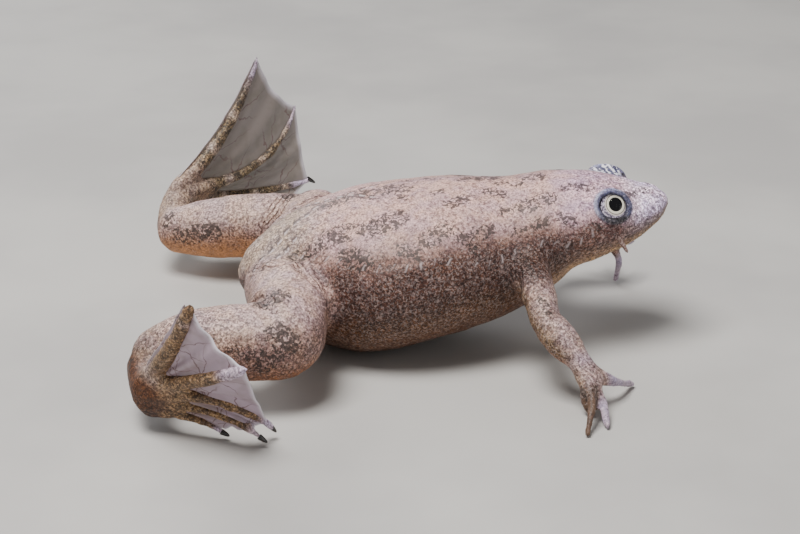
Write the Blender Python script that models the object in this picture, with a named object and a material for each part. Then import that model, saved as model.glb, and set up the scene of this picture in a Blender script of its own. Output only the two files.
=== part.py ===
"""A Müller's clawed frog as a still, life-size model, at rest with its head raised.

The flesh is modelled whole, from lofted trunk and limbs that are blended into one surface, and
is then parted with thin cuts into the head, the torso and each part of each limb. The webbed
feet, the eyes, the claws and the small feelers under the eyes are pieces of their own.
Numbers are millimetres until the end, where every mesh is scaled to metres. +X is the way the
head points, +Y is the frog's left, and the floor is at Z = 0.
"""

import math

import bmesh
import bpy
import numpy as np
from mathutils import Matrix, Vector
from mathutils.bvhtree import BVHTree

MM = 0.001
GAP = 0.3
VOXEL = 0.36
FLESH_SMOOTHING = 4
FLESH_TRIANGLES = 6000
FOOT_VOXEL = 0.2
FOOT_SMOOTHING = 2
FOOT_TRIANGLES = 1700
# Edges shorter than this, left by the cuts, are merged.
SHORT_EDGE = 0.02
MENDING_ROUNDS = 4
# The middle of the model's outline on the floor, which becomes the origin.
ORIGIN = (-0.2, 4.5, 0.0)

# Stations along the trunk: x, height of the middle, half width, half depth.
TRUNK = (
    (-24.6, 10.2, 1.6, 1.5),
    (-23.4, 10.5, 3.9, 3.4),
    (-20.5, 10.9, 6.9, 6.2),
    (-16.0, 11.3, 10.6, 8.9),
    (-11.5, 11.5, 13.6, 11.0),
    (-6.0, 11.8, 16.0, 12.2),
    (1.0, 13.2, 16.8, 11.9),
    (8.0, 14.5, 15.4, 11.4),
    (14.0, 15.8, 13.0, 10.5),
    (19.0, 17.6, 11.0, 9.1),
    (23.5, 19.7, 9.9, 7.6),
    (28.0, 20.6, 8.9, 6.6),
    (32.0, 21.2, 7.5, 5.6),
    (35.5, 21.9, 6.1, 4.1),
    (38.2, 22.6, 4.4, 2.7),
    (39.8, 23.0, 2.6, 1.6),
    (40.6, 23.1, 1.0, 0.7),
)

EYE_RADIUS = 2.35
EYES = {"right": (31.3, -5.6, 23.8), "left": (31.9, 5.6, 24.1)}
EYE_AXIS = (0.235, 0.835, 0.496)
# The mound of flesh that holds each eye: how far its middle lies inside the eye's, and how much
# wider than the eye it is.
MOUND_DEPTH = 0.7
MOUND_WIDER = 0.75
LID_RING = 2.5
LID_THICKNESS = 0.52
LID_LIFT = 0.85

# Limbs: stations of x, y, z, half width and half depth along each length of limb.
THIGHS = {
    "right": ((-17.2, -5.5, 10.9, 6.4, 6.3), (-16.3, -14.0, 11.2, 5.9, 6.2),
              (-16.2, -22.8, 11.0, 5.7, 6.2)),
    "left": ((-16.6, 5.5, 11.2, 6.4, 6.4), (-14.0, 14.0, 11.6, 6.0, 6.1),
             (-13.6, 21.8, 10.9, 5.5, 5.9)),
}
SHANKS = {
    "right": ((-17.0, -24.2, 10.3, 5.2, 5.6), (-24.5, -24.8, 10.3, 5.3, 5.6),
              (-30.6, -24.8, 9.3, 4.9, 5.3), (-33.8, -24.9, 8.2, 4.2, 4.7)),
    "left": ((-15.5, 23.2, 10.4, 4.8, 5.0), (-25.0, 24.6, 9.5, 5.1, 5.3), (-32.5, 25.8, 8.5, 4.7, 4.9),
             (-36.8, 26.8, 7.9, 3.8, 4.0)),
}
TARSI = {
    "right": ((-35.5, -26.0, 7.0, 3.3, 3.4), (-35.4, -29.5, 6.3, 2.7, 3.1), (-34.6, -33.5, 6.2, 2.3, 3.3)),
    "left": ((-38.0, 28.6, 8.0, 3.0, 3.0), (-38.2, 32.0, 9.8, 2.6, 2.8), (-37.0, 36.4, 11.4, 2.3, 2.9)),
}
UPPER_ARMS = {
    "right": ((18.5, -9.5, 16.5, 3.4, 3.4), (20.2, -14.5, 13.9, 2.6, 2.6), (21.0, -19.2, 11.4, 2.3, 2.3)),
    "left": ((18.5, 9.5, 16.5, 3.4, 3.4), (21.5, 14.5, 14.4, 2.6, 2.6), (24.4, 18.6, 12.6, 2.3, 2.3)),
}
FOREARMS = {
    "right": ((21.0, -19.2, 11.4, 2.3, 2.4), (22.9, -21.2, 9.6, 2.6, 2.6), (25.6, -23.6, 7.2, 1.8, 1.8)),
    "left": ((24.4, 18.6, 12.6, 2.3, 2.4), (27.7, 19.2, 11.5, 2.6, 2.6), (32.0, 19.4, 10.0, 1.8, 1.8)),
}
PALMS = {
    "right": ((26.0, -24.0, 6.6, 1.9, 1.6), (27.2, -25.6, 4.9, 2.3, 1.4)),
    "left": ((32.6, 19.5, 9.8, 1.9, 1.6), (34.4, 19.9, 8.7, 2.2, 1.4)),
}
# Where the fingers start along the palm, and their radii.
FINGER_START = 0.8
FINGER_ROOT = 0.95
FINGER_TIP = 0.6
# Fingers: a point on the way and the tip.
FINGERS = {
    "right": (((30.0, -23.2, 3.6), (34.2, -17.6, 0.5)), ((28.6, -27.4, 2.4), (29.2, -31.4, 0.45)),
              ((27.0, -29.4, 3.3), (26.1, -33.8, 0.45)), ((26.2, -26.4, 2.6), (27.2, -27.6, 0.45))),
    "left": (((36.1, 21.0, 5.0), (35.9, 22.6, 0.5)), ((37.2, 21.8, 7.8), (38.8, 25.0, 6.6)),
             ((34.4, 24.0, 8.2), (33.0, 28.0, 6.6)), ((33.2, 23.0, 8.6), (30.0, 25.0, 6.8))),
}
LIMB_SETS = {"thigh": THIGHS, "shank": SHANKS, "tarsus": TARSI, "upper_arm": UPPER_ARMS,
             "forearm": FOREARMS, "hand": PALMS}

# Cuts: middle, the way the cut faces, and radius. Each parts two nodes by the gap.
CUTS = {
    "neck": ((24.2, 0.0, 19.9), (0.97, 0.0, 0.24), 12.5),
    "hip_right": ((-16.2, -10.2, 12.2), (-0.55, -0.835, 0.0), 10.4),
    "hip_left": ((-15.4, 10.6, 12.2), (-0.55, 0.835, 0.0), 10.4),
    "knee_right": ((-17.6, -24.0, 10.8), (-0.75, -0.66, 0.0), 12.5),
    "knee_left": ((-15.4, 23.6, 10.4), (-0.75, 0.66, 0.0), 10.5),
    "heel_right": ((-35.4, -26.8, 6.9), (-0.5, -0.85, -0.15), 5.6),
    "heel_left": ((-38.0, 29.2, 8.4), (-0.4, 0.87, 0.29), 5.6),
    "foot_right": ((-35.0, -32.0, 6.2), (0.24, -0.97, 0.0), 5.0),
    "foot_left": ((-37.7, 34.6, 10.9), (0.24, 0.9, 0.36), 5.0),
    "shoulder_right": ((19.7, -12.9, 14.7), (0.25, -0.85, -0.46), 4.6),
    "shoulder_left": ((20.5, 12.9, 15.1), (0.5, 0.79, -0.35), 4.6),
    "elbow_right": ((21.3, -19.6, 11.1), (0.42, -0.68, -0.6), 4.0),
    "elbow_left": ((24.9, 18.8, 12.4), (0.85, 0.43, -0.3), 4.0),
    "wrist_right": ((25.7, -23.7, 7.1), (0.45, -0.55, -0.7), 3.0),
    "wrist_left": ((32.2, 19.4, 10.0), (0.93, 0.12, -0.34), 3.0),
}
# A point inside each node of flesh.
INSIDE = {"head": (31.0, 0.0, 20.0), "torso": (0.0, 0.0, 13.0)}

# Toes, first to fifth: a point on the way and the tip.
TOES = {
    "right": (((-28.5, -34.0, 3.2), (-24.5, -34.6, 1.2)), ((-25.6, -36.0, 5.0), (-19.4, -36.4, 2.0)),
              ((-25.0, -37.5, 7.6), (-17.9, -34.6, 2.2)), ((-27.8, -38.5, 11.0), (-20.1, -44.6, 15.6)),
              ((-31.0, -37.5, 14.8), (-27.2, -43.0, 24.0))),
    "left": (((-31.0, 41.0, 4.5), (-25.5, 44.0, 1.2)), ((-27.5, 45.0, 4.2), (-18.5, 50.0, 1.6)),
             ((-26.0, 47.0, 7.4), (-16.3, 53.0, 7.6)), ((-25.0, 46.2, 13.2), (-18.6, 53.0, 21.9)),
             ((-30.3, 41.0, 20.6), (-24.4, 46.0, 32.7))),
}
FOOT_ACROSS = {"right": (0.0, 0.0, 1.0), "left": (0.0, -0.25, 0.97)}
FOOT_WIDTH = 6.2
FOOT_DEPTH = 4.2
TOE_ROOT = 1.15
TOE_TIP = 0.75
WEB = 0.55
WEB_REACH = (0.84, 0.82, 0.8, 0.985, 0.985)
WEB_SAG = 0.1
TOE_ROWS = 11
# Claws and feelers are cones: these are the shares of the root's radius half way and at the tip.
CONE_MIDDLE = 0.62
CONE_TIP = 0.16
CLAW_LENGTH = 1.8
CLAW_RADIUS = 0.55
CLAW_DROP = -0.75
CLAW_CLEAR = 0.12

TENTACLE_LENGTH = 2.3
TENTACLE_RADIUS = 0.45
TENTACLE_AHEAD = 1.2
TENTACLE_BELOW = 4.2

MOUTH_ANGLE = math.radians(-40)
MOUTH_RADIUS = 0.32
NOSTRIL = (38.9, 1.5, 25.6)
NOSTRIL_RADIUS = 0.42


def smooth_rows(stations, count):
    """Rows along a smooth curve through the stations, evenly spaced by their places."""
    rows = np.array(stations, float)
    steps = np.linalg.norm(np.diff(rows[:, :3], axis=0), axis=1)
    knots = np.concatenate([[0.0], np.cumsum(steps)])
    slopes = np.gradient(rows, knots, axis=0)
    at = np.linspace(0.0, knots[-1], count)
    low = np.clip(np.searchsorted(knots, at, side="right") - 1, 0, len(knots) - 2)
    span = (knots[low + 1] - knots[low])[:, None]
    t = ((at - knots[low])[:, None]) / span
    return (
        (2 * t**3 - 3 * t**2 + 1) * rows[low]
        + (t**3 - 2 * t**2 + t) * span * slopes[low]
        + (3 * t**2 - 2 * t**3) * rows[low + 1]
        + (t**3 - t**2) * span * slopes[low + 1]
    )


def unit(vectors):
    return vectors / np.linalg.norm(vectors, axis=-1, keepdims=True)


def loft(stations, count=14, sides=20, up=(0.0, 0.0, 1.0), round_ends=True):
    """A closed tube of elliptical rings along x, y, z, half width, half depth."""
    rows = smooth_rows(stations, count)
    tangents = unit(np.gradient(rows[:, :3], axis=0))
    if round_ends:
        caps = [[], []]
        for end, sign in ((0, -1), (-1, 1)):
            for turn in np.radians((75, 50, 25)) if end == 0 else np.radians((25, 50, 75)):
                reach = rows[end, 3:5].mean() * math.sin(turn)
                place = rows[end, :3] + sign * reach * tangents[end]
                caps[end].append(np.concatenate([place, rows[end, 3:5] * math.cos(turn)]))
        rows = np.vstack([caps[0], rows, caps[-1]])
        tangents = np.vstack([[tangents[0]] * 3, tangents, [tangents[-1]] * 3])
    across = unit(np.cross(np.array(up), tangents))
    over = np.cross(tangents, across)
    angles = np.linspace(0, 2 * math.pi, sides, endpoint=False)
    mesh = bmesh.new()
    rings = []
    for row, side, top in zip(rows, across, over):
        ring = [row[:3] + side * row[3] * math.cos(a) + top * row[4] * math.sin(a) for a in angles]
        rings.append([mesh.verts.new(point) for point in ring])
    for low, high in zip(rings, rings[1:]):
        for i in range(sides):
            j = (i + 1) % sides
            mesh.faces.new((low[i], low[j], high[j], high[i]))
    mesh.faces.new(rings[0][::-1])
    mesh.faces.new(rings[-1])
    bmesh.ops.recalc_face_normals(mesh, faces=mesh.faces)
    return mesh


def ball(middle, radius, detail=16):
    """A sphere of rings about its upright axis."""
    mesh = bmesh.new()
    levels = detail // 2 + 2
    rings = []
    for i in range(1, levels):
        height, width = radius * math.cos(math.pi * i / levels), radius * math.sin(math.pi * i / levels)
        turns = [2 * math.pi * j / detail for j in range(detail)]
        ring_points = [(width * math.cos(a), width * math.sin(a), height) for a in turns]
        rings.append([mesh.verts.new(Vector(middle) + Vector(point)) for point in ring_points])
    top, bottom = (mesh.verts.new(Vector(middle) + Vector((0, 0, z))) for z in (radius, -radius))
    for j in range(detail):
        k = (j + 1) % detail
        mesh.faces.new((top, rings[0][j], rings[0][k]))
        for high, low in zip(rings, rings[1:]):
            mesh.faces.new((high[j], low[j], low[k], high[k]))
        mesh.faces.new((bottom, rings[-1][k], rings[-1][j]))
    return mesh


def ring(middle, axis, major, minor, around=24, sides=8):
    """A torus about an axis."""
    turn = Vector((0, 0, 1)).rotation_difference(Vector(axis)).to_matrix()
    mesh = bmesh.new()
    loops = []
    for i in range(around):
        a = 2 * math.pi * i / around
        out = Vector((math.cos(a), math.sin(a), 0))
        loop = []
        for j in range(sides):
            b = 2 * math.pi * j / sides
            place = out * (major + minor * math.cos(b)) + Vector((0, 0, minor * math.sin(b)))
            loop.append(mesh.verts.new(turn @ place + Vector(middle)))
        loops.append(loop)
    for i in range(around):
        for j in range(sides):
            near, far = loops[i], loops[(i + 1) % around]
            mesh.faces.new((near[j], far[j], far[(j + 1) % sides], near[(j + 1) % sides]))
    bmesh.ops.recalc_face_normals(mesh, faces=mesh.faces)
    return mesh


def object_from(name, meshes):
    """One object that holds all these bmeshes."""
    whole = bpy.data.meshes.new(name)
    joined = bmesh.new()
    for mesh in meshes:
        mesh.to_mesh(whole)
        mesh.free()
        joined.from_mesh(whole)
    joined.to_mesh(whole)
    joined.free()
    obj = bpy.data.objects.new(name, whole)
    bpy.context.scene.collection.objects.link(obj)
    return obj


def apply_modifiers(obj):
    graph = bpy.context.evaluated_depsgraph_get()
    done = bpy.data.meshes.new_from_object(obj.evaluated_get(graph))
    obj.modifiers.clear()
    obj.data = done


def blend(obj, voxel, smoothing, triangles):
    """Makes overlapping shapes one smooth surface of about this many triangles."""
    remesh = obj.modifiers.new("blend", "REMESH")
    remesh.mode = "VOXEL"
    remesh.voxel_size = voxel
    smooth = obj.modifiers.new("smooth", "SMOOTH")
    smooth.factor = 0.5
    smooth.iterations = smoothing
    apply_modifiers(obj)
    decimate = obj.modifiers.new("fewer", "DECIMATE")
    decimate.ratio = triangles / (2 * len(obj.data.polygons))
    apply_modifiers(obj)


def boolean(obj, tools, operation):
    """Joins or cuts with a list of closed objects, and removes them."""
    group = bpy.data.collections.new("tools")
    for tool in tools:
        group.objects.link(tool)
    step = obj.modifiers.new("cut", "BOOLEAN")
    step.operation = operation
    step.operand_type = "COLLECTION"
    step.collection = group
    step.solver = "EXACT"
    apply_modifiers(obj)
    for tool in tools:
        bpy.data.objects.remove(tool)
    bpy.data.collections.remove(group)


def side_sign(side):
    return -1 if side == "right" else 1


def eye_axis(side):
    x, y, z = EYE_AXIS
    return Vector((x, y * side_sign(side), z)).normalized()


def flesh():
    """The whole animal but for eyes, webbed feet, claws and tentacles, blended into one surface."""
    trunk = [(x, 0.0, z, half_width, half_depth) for x, z, half_width, half_depth in TRUNK]
    pieces = [loft(trunk, count=40, sides=32, round_ends=False)]
    for limbs in LIMB_SETS.values():
        pieces += [loft(stations) for stations in limbs.values()]
    for side, fingers in FINGERS.items():
        wrist, knuckles = np.array(PALMS[side])[:, :3]
        start = knuckles * FINGER_START + wrist * (1 - FINGER_START)
        middle = (FINGER_ROOT + FINGER_TIP) / 2
        for bend, tip in fingers:
            stations = (
                (*start, FINGER_ROOT, FINGER_ROOT),
                (*bend, middle, middle),
                (*tip, FINGER_TIP, FINGER_TIP),
            )
            pieces.append(loft(stations, count=9, sides=10))
    for side, middle in EYES.items():
        axis = eye_axis(side)
        pieces.append(ball(Vector(middle) - axis * MOUND_DEPTH, EYE_RADIUS + MOUND_WIDER))
        pieces.append(ring(Vector(middle) + axis * LID_LIFT, axis, LID_RING, LID_THICKNESS))
    body = object_from("flesh", pieces)
    blend(body, VOXEL, FLESH_SMOOTHING, FLESH_TRIANGLES)
    return body


def surface_point(tree, start, way):
    """The outermost point of the surface that a ray from inside meets."""
    start, way = Vector(start), Vector(way).normalized()
    return tree.ray_cast(start + way * 40, -way)[0]


def tree_of(obj):
    mesh = bmesh.new()
    mesh.from_mesh(obj.data)
    tree = BVHTree.FromBMesh(mesh)
    mesh.free()
    return tree


def disc(name, middle, way, radius):
    mesh = bmesh.new()
    turn = Vector((0, 0, 1)).rotation_difference(Vector(way)).to_matrix().to_4x4()
    bmesh.ops.create_cone(
        mesh, cap_ends=True, segments=24, radius1=radius, radius2=radius, depth=GAP,
        matrix=Matrix.Translation(middle) @ turn,
    )
    return object_from(name, [mesh])


def cut_face_details(body):
    """The mouth line, the nostrils and the eye sockets."""
    tree = tree_of(body)
    trunk = smooth_rows([(x, 0.0, z, w, d) for x, z, w, d in TRUNK], 60)
    line = [row for row in trunk if 27.0 < row[0] < 40.0]
    tools = []
    for sign in (-1, 1):
        points = []
        for row in line[::2]:
            way = (0.0, sign * math.cos(MOUTH_ANGLE), math.sin(MOUTH_ANGLE))
            points.append((*surface_point(tree, row[:3], way), MOUTH_RADIUS, MOUTH_RADIUS))
        front = surface_point(tree, (38.0, 0.0, 22.3), (1.0, sign * 0.3, -0.35))
        points.append((*front, MOUTH_RADIUS, MOUTH_RADIUS))
        front = surface_point(tree, (38.0, 0.0, 22.3), (1.0, 0.0, -0.35))
        points.append((*front, MOUTH_RADIUS, MOUTH_RADIUS))
        tools.append(object_from("mouth_line", [loft(points, count=16, sides=6)]))
        x, y, z = NOSTRIL
        place = tree.find_nearest(Vector((x, sign * y, z)))[0]
        tools.append(object_from("nostril", [ball(place, NOSTRIL_RADIUS, detail=8)]))
    for side, middle in EYES.items():
        tools.append(object_from("socket", [ball(middle, EYE_RADIUS + GAP, detail=24)]))
    boolean(body, tools, "DIFFERENCE")


def volume_of(mesh):
    return abs(mesh.calc_volume(signed=True))


def loose_parts(obj):
    """The closed surfaces of an object as bmeshes, largest first."""
    whole = bmesh.new()
    whole.from_mesh(obj.data)
    left = set(whole.verts)
    parts = []
    for seed in whole.verts:
        if seed not in left:
            continue
        left.remove(seed)
        found, edge = {seed}, [seed]
        while edge:
            vert = edge.pop()
            near = {link.other_vert(vert) for link in vert.link_edges} & left
            left -= near
            found |= near
            edge.extend(near)
        kept = {vert.index for vert in found}
        part = whole.copy()
        others = [vert for vert in part.verts if vert.index not in kept]
        bmesh.ops.delete(part, geom=others, context="VERTS")
        parts.append(part)
    whole.free()
    parts.sort(key=volume_of, reverse=True)
    return parts


def mend(mesh):
    """Merges the shortest edges that the cuts left, and closes the surface again round any that tore."""
    bmesh.ops.dissolve_degenerate(mesh, edges=mesh.edges, dist=SHORT_EDGE)
    bmesh.ops.triangulate(mesh, faces=mesh.faces)
    for _ in range(MENDING_ROUNDS):
        torn = [edge for edge in mesh.edges if len(edge.link_faces) != 2]
        if not torn:
            break
        faces = dict.fromkeys(face for edge in torn for vert in edge.verts for face in vert.link_faces)
        bmesh.ops.delete(mesh, geom=list(faces), context="FACES")
        bmesh.ops.delete(mesh, geom=[vert for vert in mesh.verts if not vert.link_faces], context="VERTS")
        bmesh.ops.holes_fill(mesh, edges=[edge for edge in mesh.edges if edge.is_boundary], sides=0)
        bmesh.ops.triangulate(mesh, faces=mesh.faces)
    bmesh.ops.recalc_face_normals(mesh, faces=mesh.faces)


def part_flesh(body):
    """Cuts the flesh and names each piece by the point that it holds."""
    tools = [disc(name, *cut) for name, cut in CUTS.items()]
    boolean(body, tools, "DIFFERENCE")
    points = dict(INSIDE)
    for name, limbs in LIMB_SETS.items():
        for side, stations in limbs.items():
            points[f"{name}_{side}"] = smooth_rows(stations, 5)[2][:3]
    parts = [(BVHTree.FromBMesh(part), part) for part in loose_parts(body)]
    bpy.data.objects.remove(body)
    nodes = {}
    for name, point in points.items():
        depths = []
        for tree, part in parts:
            place, normal, _, distance = tree.find_nearest(Vector(point))
            if (Vector(point) - place).dot(normal) < 0:
                depths.append((distance, len(depths), part))
        piece = min(depths)[2].copy()
        mend(piece)
        nodes[name] = object_from(name, [piece])
    for _, part in parts:
        part.free()
    return nodes


def bezier(start, bend, tip, t):
    """A curve that passes through the bend half way."""
    control = 2 * np.array(bend) - 0.5 * (np.array(start) + np.array(tip))
    t = np.atleast_1d(t)[:, None]
    return (1 - t) ** 2 * np.array(start) + 2 * t * (1 - t) * control + t**2 * np.array(tip)


def webbed_foot(side):
    """Five toes as ridges raised in the surface of one membrane, split alike on both faces."""
    middle, way, _ = CUTS[f"foot_{side}"]
    way = unit(np.array(way))
    root = np.array(middle) + way * (GAP / 2 + 0.03)
    across = np.array(FOOT_ACROSS[side]) - np.dot(FOOT_ACROSS[side], way) * way
    across = unit(across)
    toes = TOES[side]
    starts = [root + across * FOOT_WIDTH * (k / 5 - 0.4) for k in range(5)]
    rows = np.linspace(0.0, 1.0, TOE_ROWS)

    def centre(k, u):
        return bezier(starts[k], *toes[k], u)

    def toe_side(k, u):
        low, high = max(k - 1, 0), min(k + 1, 4)
        between = centre(high, u) - centre(low, u)
        along = unit(centre(k, u + 0.01) - centre(k, u - 0.01))
        between -= (between * along).sum(axis=1, keepdims=True) * along
        return unit(between)

    def toe_radius(k, u):
        room = [np.linalg.norm(centre(k, u) - centre(n, u), axis=1) for n in (k - 1, k + 1) if 0 <= n <= 4]
        wanted = TOE_ROOT + (TOE_TIP - TOE_ROOT) * u
        rounding = np.sqrt(np.clip(1 - ((u - 0.9) / 0.115) ** 2, 0.2, 1)) * (u > 0.9) + (u <= 0.9)
        return np.minimum(wanted * rounding, 0.4 * np.min(room, axis=0))

    places, halves = [], []
    for k in range(5):
        radius = toe_radius(k, rows)
        side_way = toe_side(k, rows)
        for q in (-1.0, -0.62, 0.0, 0.62, 1.0):
            places.append(centre(k, rows) + side_way * (q * radius)[:, None])
            rim = 0.6 if (k, q) in ((0, -1.0), (4, 1.0)) else 1.0
            halves.append(WEB / 2 * rim + radius * 0.95 * math.sqrt(1 - q * q))
        if k == 4:
            break
        for w, reach in ((0.07, WEB_REACH[k]), (0.36, None), (0.64, None), (0.93, WEB_REACH[k + 1])):
            if reach is None:
                reach = (1 - w) * WEB_REACH[k] + w * WEB_REACH[k + 1] - WEB_SAG
            u = rows * reach
            low = centre(k, u) + toe_side(k, u) * toe_radius(k, u)[:, None]
            high = centre(k + 1, u) - toe_side(k + 1, u) * toe_radius(k + 1, u)[:, None]
            places.append((1 - w) * low + w * high)
            halves.append(np.full(TOE_ROWS, WEB / 2))
    grid = np.array(places)
    half = np.array(halves)
    lateral = (grid - root) @ across / (FOOT_WIDTH * 0.5)
    slab = FOOT_DEPTH / 2 * np.sqrt(np.clip(1 - lateral**2, 0.1, 1))
    fade = np.clip(rows / 0.4, 0, 1)
    fade = fade * fade * (3 - 2 * fade)
    half = (1 - fade) * slab + fade * half
    along = np.gradient(grid, axis=1)
    over = np.gradient(grid, axis=0)
    normal = unit(np.cross(along, over))
    flat = unit(np.cross(way, across))
    flat *= math.copysign(1, normal[:, 0].mean(axis=0) @ flat)
    for i, share in enumerate((1.0, 0.7, 0.35)):
        normal[:, i] = unit(share * flat + (1 - share) * normal[:, i])
    faces = {1: grid + normal * half[..., None], -1: grid - normal * half[..., None]}
    mesh = bmesh.new()
    verts = {}
    for sign, points in faces.items():
        for j in range(grid.shape[0]):
            for i in range(TOE_ROWS):
                verts[sign, j, i] = mesh.verts.new(points[j, i])
    columns = grid.shape[0]
    for sign in (1, -1):
        for j in range(columns - 1):
            for i in range(TOE_ROWS - 1):
                a, b = verts[sign, j, i], verts[sign, j + 1, i]
                c, d = verts[sign, j + 1, i + 1], verts[sign, j, i + 1]
                mesh.faces.new((a, b, c)[::sign])
                mesh.faces.new((a, c, d)[::sign])
    rim = [(j, 0) for j in range(columns)]
    rim += [(columns - 1, i) for i in range(1, TOE_ROWS)]
    rim += [(j, TOE_ROWS - 1) for j in range(columns - 2, -1, -1)]
    rim += [(0, i) for i in range(TOE_ROWS - 2, 0, -1)]
    for (j, i), (jj, ii) in zip(rim, rim[1:] + rim[:1]):
        a, b, c, d = verts[1, j, i], verts[1, jj, ii], verts[-1, jj, ii], verts[-1, j, i]
        mesh.faces.new((a, b, c))
        mesh.faces.new((a, c, d))
    bmesh.ops.recalc_face_normals(mesh, faces=mesh.faces)
    foot = object_from(f"foot_{side}", [mesh])
    blend(foot, FOOT_VOXEL, FOOT_SMOOTHING, FOOT_TRIANGLES)
    return foot


def cone(name, base, way, length, radius, bend):
    """A tapered, slightly bent spike, such as a claw."""
    way = unit(np.array(way, float))
    tip = np.array(base) + way * length + np.array(bend)
    middle = np.array(base) + way * length * 0.5 + np.array(bend) * 0.25
    waist, point = radius * CONE_MIDDLE, radius * CONE_TIP
    stations = ((*base, radius, radius), (*middle, waist, waist), (*tip, point, point))
    return object_from(name, [loft(stations, count=6, sides=9, round_ends=False)])


def claws(side):
    """Black claws on the first three toes only, pointing down."""
    made = {}
    for k, number in enumerate(("first", "second", "third")):
        bend, tip = TOES[side][k]
        way = np.array(tip) - np.array(bend)
        way = unit(unit(way) + np.array((0.1, 0.0, CLAW_DROP)))
        way[2] = max(way[2], -(tip[2] - CLAW_RADIUS) / (CLAW_LENGTH + GAP))
        base = np.array(tip) + way * (GAP + CLAW_CLEAR)
        name = f"claw_{number}_{side}"
        made[name] = cone(name, base, way, CLAW_LENGTH, CLAW_RADIUS, (0.15, 0.0, -0.2))
    return made


def tentacle(side, head):
    """The short feeler that hangs on the cheek under each eye, its root on the skin."""
    sign = side_sign(side)
    x, y, z = EYES[side]
    start = Vector((x + TENTACLE_AHEAD, y + sign * 1.6, z - TENTACLE_BELOW))
    place, normal, _, _ = tree_of(head).find_nearest(start)
    way = normal * 0.55 + Vector((0.45, 0.0, -0.75))
    base = place + normal * (GAP + TENTACLE_RADIUS * 0.55)
    return cone(f"tentacle_{side}", base, way, TENTACLE_LENGTH, TENTACLE_RADIUS, (0.1, 0.0, -0.3))


def rest_on_floor(obj):
    """Flattens what would reach past the floor."""
    for vert in obj.data.vertices:
        vert.co.z = max(vert.co.z, 0.0)


def paint(obj, colour, roughness):
    material = bpy.data.materials.new(obj.name)
    material.use_nodes = True
    shader = material.node_tree.nodes["Principled BSDF"]
    shader.inputs["Base Color"].default_value = (*colour, 1.0)
    shader.inputs["Roughness"].default_value = roughness
    obj.data.materials.clear()
    obj.data.materials.append(material)


COLOURS = (
    ("eye", (0.02, 0.02, 0.02), 0.08),
    ("claw", (0.01, 0.01, 0.01), 0.3),
    ("foot", (0.24, 0.19, 0.16), 0.4),
    ("tentacle", (0.45, 0.4, 0.38), 0.45),
    ("", (0.27, 0.22, 0.2), 0.42),
)


def main():
    for obj in list(bpy.data.objects):
        bpy.data.objects.remove(obj)
    body = flesh()
    rest_on_floor(body)
    cut_face_details(body)
    nodes = part_flesh(body)
    for side in ("right", "left"):
        nodes[f"foot_{side}"] = webbed_foot(side)
        nodes.update(claws(side))
        eye = object_from(f"eye_{side}", [ball(EYES[side], EYE_RADIUS, detail=16)])
        nodes[f"eye_{side}"] = eye
        nodes[f"tentacle_{side}"] = tentacle(side, nodes["head"])
    for name, obj in nodes.items():
        rest_on_floor(obj)
        obj.data.transform(Matrix.Translation(ORIGIN).inverted())
        colour, roughness = next((c, r) for start, c, r in COLOURS if name.startswith(start))
        paint(obj, colour, roughness)
        obj.data.transform(Matrix.Scale(MM, 4))
        obj.data.shade_smooth()


main()
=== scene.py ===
import math

import bpy
import numpy as np
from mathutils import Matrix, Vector, noise
from mathutils.bvhtree import BVHTree


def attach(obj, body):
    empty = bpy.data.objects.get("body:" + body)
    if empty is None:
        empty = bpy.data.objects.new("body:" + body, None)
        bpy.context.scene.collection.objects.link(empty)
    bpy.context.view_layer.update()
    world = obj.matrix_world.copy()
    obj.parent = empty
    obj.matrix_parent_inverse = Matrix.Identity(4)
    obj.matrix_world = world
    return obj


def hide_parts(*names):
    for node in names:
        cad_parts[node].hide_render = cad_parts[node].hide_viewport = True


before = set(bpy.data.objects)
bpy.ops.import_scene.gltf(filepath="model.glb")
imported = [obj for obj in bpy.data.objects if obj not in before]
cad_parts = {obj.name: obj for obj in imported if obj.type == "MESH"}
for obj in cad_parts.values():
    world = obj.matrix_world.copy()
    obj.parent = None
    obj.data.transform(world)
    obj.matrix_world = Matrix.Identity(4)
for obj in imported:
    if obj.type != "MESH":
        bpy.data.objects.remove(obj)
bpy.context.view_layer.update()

# The stage is a pale matt floor under wide soft lights, as in a museum's show case. The camera looks
# at the frog's right side from a little above its back.
MM = 0.001
CAMERA_ELEVATION = math.radians(22)
CAMERA_DISTANCE = 290 * MM
CAMERA_LENS = 85
CAMERA_TARGET = Vector((0.2, -4.5, 12.0)) * MM
FLOOR_PALE = (0.52, 0.51, 0.49)
FLOOR_SHADE = (0.44, 0.43, 0.42)
ROOM_LIGHT = (0.8, 0.79, 0.78, 1)
ROOM_STRENGTH = 0.25
# Each light's name, place, width, power and colour.
LIGHTS = (
    ("key", (-0.10, -0.14, 0.44), 0.20, 3.4, (1.0, 0.97, 0.94)),
    ("fill", (0.42, -0.34, 0.22), 0.35, 0.45, (0.97, 0.97, 1.0)),
    ("rim", (-0.25, 0.40, 0.28), 0.30, 1.3, (0.96, 0.97, 1.0)),
)


class Wire:
    """A socket of a material, with sums that add Math nodes."""

    def __init__(self, shader, socket):
        self.shader, self.socket = shader, socket

    def sum(self, operation, *values):
        return self.shader.node("Math", {"operation": operation}, dict(enumerate(values)))

    def __add__(self, other):
        return self.sum("ADD", self, other)

    def __sub__(self, other):
        return self.sum("SUBTRACT", self, other)

    def __rsub__(self, other):
        return self.sum("SUBTRACT", other, self)

    def __mul__(self, other):
        return self.sum("MULTIPLY", self, other)

    __radd__, __rmul__ = __add__, __mul__

    def size(self):
        return self.sum("ABSOLUTE", self)

    def either(self, other):
        return self.sum("MAXIMUM", self, other)

    def rising(self, low, high):
        """From 0 at low to 1 at high, smoothly."""
        settings = {"interpolation_type": "SMOOTHSTEP"}
        return self.shader.node("MapRange", settings, {"Value": self, "From Min": low, "From Max": high})


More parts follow.
